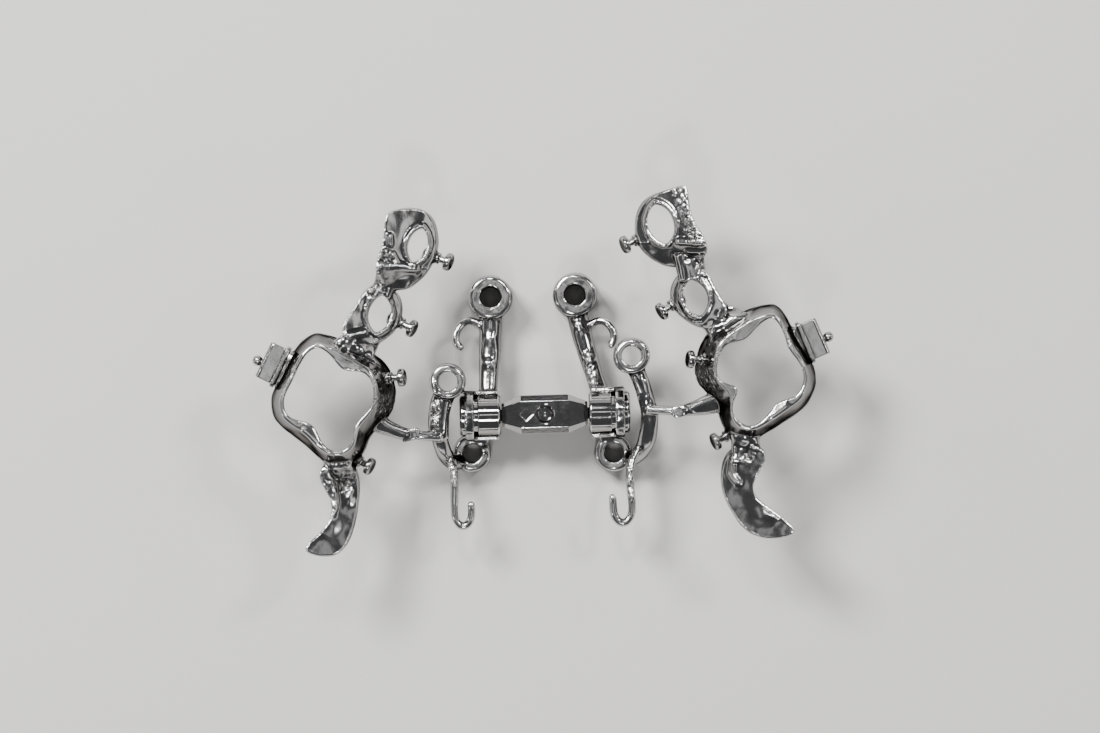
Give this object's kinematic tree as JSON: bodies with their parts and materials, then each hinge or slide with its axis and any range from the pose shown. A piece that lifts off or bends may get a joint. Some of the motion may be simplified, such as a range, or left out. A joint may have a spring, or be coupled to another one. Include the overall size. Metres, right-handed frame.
{
  "type": "palatal expander",
  "caption": "Tooth and bone carried palatal expander: printed metal halves with molar bands, premolar pads and screw rings, pushed apart by a double-threaded expansion screw.",
  "frame": {"origin": "middle of the part's box, on the surface that the front and rear screw rings stand on", "axes": "+X across the arch to the wearer's side that lies right in the picture, +Y towards the front teeth, +Z towards the chewing side"},
  "size_m": [0.0586, 0.0365, 0.0145],
  "materials": {
    "printed_metal": "polished cobalt-chrome with rough patches",
    "screw_steel": "turned and polished",
    "stock_steel": "polished"
  },
  "bodies": {
    "screw_core": {"threaded_spindle": "screw_steel"},
    "driver": {"square_driver": "screw_steel"},
    "left_half": {"left_threaded_sleeve": "screw_steel", "left_anchor_frame": "printed_metal", "left_tooth_frame": "printed_metal", "left_buccal_tube": "stock_steel", "left_front_button": "stock_steel", "left_premolar_button": "stock_steel", "left_molar_button": "stock_steel", "left_distal_button": "stock_steel"},
    "right_half": {"right_threaded_sleeve": "screw_steel", "right_anchor_frame": "printed_metal", "right_tooth_frame": "printed_metal", "right_buccal_tube": "stock_steel", "right_front_button": "stock_steel", "right_premolar_button": "stock_steel", "right_molar_button": "stock_steel", "right_distal_button": "stock_steel"}
  },
  "joints": [
    {"name": "driver_turn", "type": "hinge", "parent": "screw_core", "child": "driver", "pos_m": [0, -0.0044, 0.0055], "axis": [1, 0, 0], "range_deg": [0, 1800]},
    {"name": "left_half_slide", "type": "slide", "parent": "screw_core", "child": "left_half", "axis": [-1, 0, 0], "range_m": [0, 0.0025]},
    {"name": "right_half_slide", "type": "slide", "parent": "screw_core", "child": "right_half", "axis": [1, 0, 0], "range_m": [0, 0.0025]}
  ],
  "couplings": [
    {"joint": "driver_turn", "follows": "left_half_slide", "rad_per_m": 12566},
    {"joint": "right_half_slide", "follows": "left_half_slide", "ratio": 1}
  ]
}
